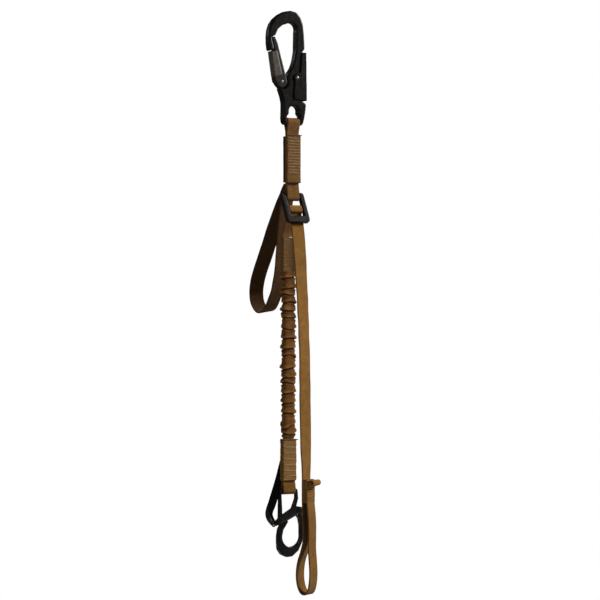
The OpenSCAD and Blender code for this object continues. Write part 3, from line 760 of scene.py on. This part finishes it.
def crinkle_sleeve():
    """Tubular webbing gathered over the elastic: tilted creases, each a lip over a deep fold."""
    n, m = 620, 132
    half_w, half_t, square = 12.4, 6.6, 0.66
    z = np.linspace(SLEEVE_TOP, SLEEVE_END, n)[:, None]
    a = np.linspace(0, 2 * math.pi, m, endpoint=False)[None]
    across = np.sign(np.cos(a)) * np.abs(np.cos(a)) ** square
    deep = np.sign(np.sin(a)) * np.abs(np.sin(a)) ** square
    out, side, tone = np.zeros((n, m)), np.zeros((n, m)), np.ones((n, m))
    for at, tilt, bow, way, size in sleeve_pleats():
        crease = at + tilt * across + bow * (across**2 - 0.5) + 0.9 * tilt * deep
        gap = z - (crease + 0.5 * np.sin(3 * a + at))
        near_side, far_side = np.clip(way * across, 0, 1), np.clip(-way * across, 0, 1)
        strong = size * (0.55 + 1.1 * near_side**1.5 + 0.4 * far_side**2)
        lip, fold = 0.6 * bell(gap - 1.6, 1.3), 1.8 * bell(gap + 0.9, 1.3)
        out += strong * (lip - fold + 2.0 * bell(gap - 4.0, 3.1) + 0.9 * bell(gap + 3.9, 1.9))
        side += 0.5 * way * size * bell(gap, 5.5)
        # painted shade in each fold and below it, deeper on the side it bulges to; a painted highlight along
        # the lip above each fold, with a faint painted shade above that
        tone *= 1 - 0.9 * np.clip(size * bell(gap + 0.8, 1.7), 0, 1)
        tone *= 1 - 0.4 * bell(gap + 3.6, 1.9) * np.clip(way * across + 0.6, 0, 1)
        tone += 1.1 * bell(gap - 2.6, 1.2) * np.clip(size - 0.3, 0, 1) - 0.2 * bell(gap - 7.5, 2.6)
    # shaded as in the photo, on the right of the upper front
    shadow = np.clip((across - 0.1) / 0.5, 0, 1) * np.clip((z + 560) / 60, 0, 1) * np.clip(-deep, 0, 1)
    tone *= 1 - 0.55 * shadow
    end = np.clip(np.minimum(SLEEVE_TOP - z, z - SLEEVE_END) / 5, 0, 1)
    out = out * end + drift(n, 9, 0.25)[:, None] * end - 0.5
    reach_x, reach_y = half_w + 0.9 * np.clip(out, -1.7, 3.6), half_t + 0.8 * np.clip(out, -1.5, 2.2)
    tuck = 1 - 0.16 * np.clip((-712 - z) / 4, 0, 1)
    x = STRAP_X + (reach_x * across + side * end + (drift(n, 26, 0.4)[:, None]) * end) * tuck
    y = ABSORBER_Y + reach_y * deep * tuck
    outer = np.stack([x, y, np.broadcast_to(z, x.shape)], -1)
    centre = np.stack([np.full_like(x, STRAP_X), np.full_like(x, ABSORBER_Y), outer[..., 2]], -1)
    inner = centre + (outer - centre) * 0.8
    rings = np.vstack([outer, inner[::-1]])
    # the inner wall is painted in shade, at 0.4
    shade = np.vstack([np.clip(tone, 0.16, 1.6), np.full((n, m), 0.4)])
    obj = Piece().grid(rings, shade=shade, wrap=True).make("crinkle_sleeve_v", SLEEVE)
    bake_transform(obj)
    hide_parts("crinkle_sleeve")


def elastic_core():
    piece = Piece()
    z = np.linspace(-424.2, -720.8, 200)
    for k in (-1, 0, 1):
        line = np.column_stack([STRAP_X + 6.4 * k + 0.2 * np.sin(z / 17 + k), np.full(200, ABSORBER_Y), z])
        piece.grid(tube_rings(line, 2.4 + 0.08 * np.sin(z * 2.4), 14))
    obj = piece.make("elastic_core_v", ELASTIC)
    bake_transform(obj)
    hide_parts("elastic_core")


# ---- lower splice ----


def lower_splice():
    y = ABSORBER_Y
    route = np.vstack([
        [[y - 1.4, -721], [y - 1.4, -791], [y - 3.4, -798]], arc(BAIL_BAR, 5.1, 165, 375, 22),
        [[y + 3.4, -798], [y + 1.4, -791], [y + 1.4, -721]]])
    g, tone = ribbon_rings(in_yz(resampled(route, 1.3)), (1, 0, 0), wobble=0.08)
    webbing = Piece().grid(g, shade=tone * 0.8).make("lower_webbing_v", WEBBING)
    place(webbing, "lower_block", "webbing", "lower_webbing")
    rows = [-731.5, -741, -752, -762, -772.5, -782]
    piece = Piece()
    for side in (-1, 1):
        middle = (STRAP_X, y + side * 4.3)
        g, tone = block_rings(27, 3.2, -717, -790.2, middle, 2, rows, pucker=0.55, wave=0.022)
        piece.grid(g, shade=tone)
    place(piece.make("lower_overlay_v", SPLICE_PALE), "lower_block", "webbing", "lower_overlay")
    stitched(
        "lower_stitching_v", "lower_block", "lower_stitching", rows, y - 5.95, 23, THREAD,
        radius=0.62, zig=1.1, tilt=2.6)
    rings = seam_rings(-13.4, 15.6, y - 6.1, -718.2, 0.95, (0.3, 0.8))
    seam = Piece().grid(rings).make("lower_seam_v", THREAD_DARK)
    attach(seam, "lower_block")


# ---- shackle ----


def shackle():
    for node, body, voxel, rounds in (
        ("shackle_body", "shackle", 0.55, 14), ("shackle_jaw", "jaw", 0.6, 22),
        ("lock_plunger", "plunger", 0.35, 6),
        ("plunger_cap", "shackle", 0.35, 5), ("jaw_pin", "shackle", 0.35, 5)):
        place(forged(node, node + "_v", SHACKLE, voxel, rounds), body, "shackle_black", node)


def release_tab():
    """Two plies of black webbing, narrowing as they turn in to the plunger's knob."""
    route = [
        [15, 20, -716, 0, 18], [9, 20.2, -736, 0, 18], [1, 21.2, -762, -3, 18], [-7, 21.6, -788, -8, 17.6],
        [-15.5, 21.2, -812, -8, 17.6], [-22.5, 20.6, -830, -8, 17.2], [-27.8, 19.6, -841, -8, 16.6],
        [-30.2, 17.8, -848.5, -6, 15.4], [-29, 15.8, -855.5, -4, 14], [-26.2, 13.8, -861, 0, 12],
        [-23.8, 12.8, -865, 0, 10]]
    line = curve(route, 1.3)  # x, y, z, tilt in degrees, width
    tilt = np.radians(line[:, 3])
    tangent = unit(np.gradient(line[:, :3], axis=0))
    flat = unit(np.cross(tangent, [0, 1, 0]))
    wide = unit(flat * np.cos(tilt)[:, None] + np.cross(tangent, flat) * np.sin(tilt)[:, None])
    deep = np.cross(tangent, wide)
    piece = Piece()
    for k in (-1, 1):
        middle = line[:, :3] + deep * 0.48 * k
        g, tone = ribbon_rings(middle, wide, 1.0, 0.92, 0)
        off = ((g - middle[:, None]) * wide[:, None]).sum(-1, keepdims=True)
        g = g + off * wide[:, None] * (line[:, 4] - 1)[:, None, None]
        piece.grid(g, shade=tone)
    obj = piece.make("release_tab_v", TAB)
    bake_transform(obj)
    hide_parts("release_tab")


def plunger_fittings():
    lean = math.radians(25)
    back = np.array([-math.cos(lean), 0, -math.sin(lean)])
    boss = np.array([27.0, ABSORBER_Y, -843.0])
    up, side = np.array([math.sin(lean), 0, -math.cos(lean)]), np.array([0, 1.0, 0])
    a = np.linspace(0, 4.4 * 2 * math.pi, 130)
    ring = np.cos(a)[:, None] * up + np.sin(a)[:, None] * side
    line = boss + back * np.linspace(39.3, 44.9, 130)[:, None] + 3.0 * ring
    obj = Piece().grid(tube_rings(line, 0.45)).make("plunger_spring_v", SPRING)
    place(obj, "shackle", "spring_steel", "plunger_spring")
    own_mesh(obj)
    eye = boss + back * 55.6
    lean, turn = math.radians(32), math.radians(-26)
    rise = np.array([-math.sin(lean), 0, math.cos(lean)])
    flat = np.cross(rise, side)
    level = np.cos(turn) * side + np.sin(turn) * flat
    a = np.linspace(0, 2 * math.pi, 73)[:-1]
    round_it = np.cos(a)[:, None] * rise + np.sin(a)[:, None] * level
    b = np.linspace(0, 2 * math.pi, 12, endpoint=False)
    section = np.cos(b)[None, :, None] * round_it[:, None]
    section = section + np.sin(b)[None, :, None] * np.cross(rise, level)
    ring_r, wire_r = 9.5, 1.2
    g = (eye + rise * ring_r + ring_r * round_it)[:, None] + wire_r * section
    ring = Piece().grid(g, wrap=True).make("plunger_ring_v", SHACKLE)
    place(ring, "plunger", "shackle_black", "plunger_ring")


# ---- stage ----


def stage():
    """A pale floor, white to the camera as in a cut-out product picture."""
    mesh = bpy.data.meshes.new("floor")
    mesh.from_pydata([(-8, -8, -1.3), (8, -8, -1.3), (8, 8, -1.3), (-8, 8, -1.3)], [], [(0, 1, 2, 3)])
    floor = bpy.data.objects.new("floor", mesh)
    bpy.context.scene.collection.objects.link(floor)
    m, tree, shader = start_material("Floor")
    shader.inputs["Base Color"].default_value = (0.5, 0.5, 0.5, 1)
    shader.inputs["Roughness"].default_value = 0.9
    white = wire(tree, "ShaderNodeEmission", {"Color": (1, 1, 1, 1), "Strength": 1.0}).outputs[0]
    seen = wire(tree, "ShaderNodeLightPath").outputs["Is Camera Ray"]
    both = wire(tree, "ShaderNodeMixShader", {0: seen, 1: shader.outputs[0], 2: white}).outputs[0]
    tree.links.new(both, tree.nodes["Material Output"].inputs["Surface"])
    mesh.materials.append(m)


def lamp(name, at, target, size, power, colour=(1, 1, 1)):
    data = bpy.data.lights.new(name, "AREA")
    data.shape, data.size, data.energy, data.color = "DISK", size, power, colour
    obj = bpy.data.objects.new(name, data)
    bpy.context.scene.collection.objects.link(obj)
    obj.location = at
    obj.rotation_mode = "QUATERNION"
    obj.rotation_quaternion = (Vector(target) - Vector(at)).to_track_quat("-Z", "Y")


def light():
    world = bpy.data.worlds.new("studio")
    bpy.context.scene.world = world
    world.use_nodes = True
    tree = world.node_tree
    tree.nodes.clear()
    seen = wire(tree, "ShaderNodeBackground", {"Color": (1, 1, 1, 1), "Strength": 1.0}).outputs[0]
    lit = wire(tree, "ShaderNodeBackground", {"Color": (1, 1, 1, 1), "Strength": 0.055}).outputs[0]
    path = wire(tree, "ShaderNodeLightPath").outputs["Is Camera Ray"]
    both = wire(tree, "ShaderNodeMixShader", {0: path, 1: lit, 2: seen}).outputs[0]
    wire(tree, "ShaderNodeOutputWorld", {"Surface": both})
    lamp("key", (2.1, -0.85, 0.75), (0, 0, -0.45), 0.6, 100, (1.0, 0.97, 0.93))
    lamp("fill", (-2.4, -1.1, 0.2), (0, 0, -0.5), 1.2, 12, (1.0, 0.98, 0.95))
    lamp("rim", (-1.4, 1.9, 0.8), (0, 0, -0.4), 0.7, 5)


def camera():
    """Straight on at azimuth -30, as far as a product picture is taken from."""
    data = bpy.data.cameras.new("camera")
    data.sensor_width, data.lens = 36, 137.1
    data.clip_end = 50
    obj = bpy.data.objects.new("camera", data)
    bpy.context.scene.collection.objects.link(obj)
    target = Vector((0.0167, -0.0096, -0.4731))
    back = Vector((-0.5, -0.8660254, 0))
    obj.location = target + back * 4
    obj.rotation_mode = "QUATERNION"
    obj.rotation_quaternion = (-back).to_track_quat("-Z", "Y")
    bpy.context.scene.camera = obj
    bpy.context.scene.view_settings.view_transform = "Standard"


camera()
light()
stage()
hook()
hook_fittings()
upper_webbing()
upper_splice()
rear_loop()
buckle()
load_strap()
tail()
absorber_top()
crinkle_sleeve()
elastic_core()
lower_splice()
shackle()
release_tab()
plunger_fittings()
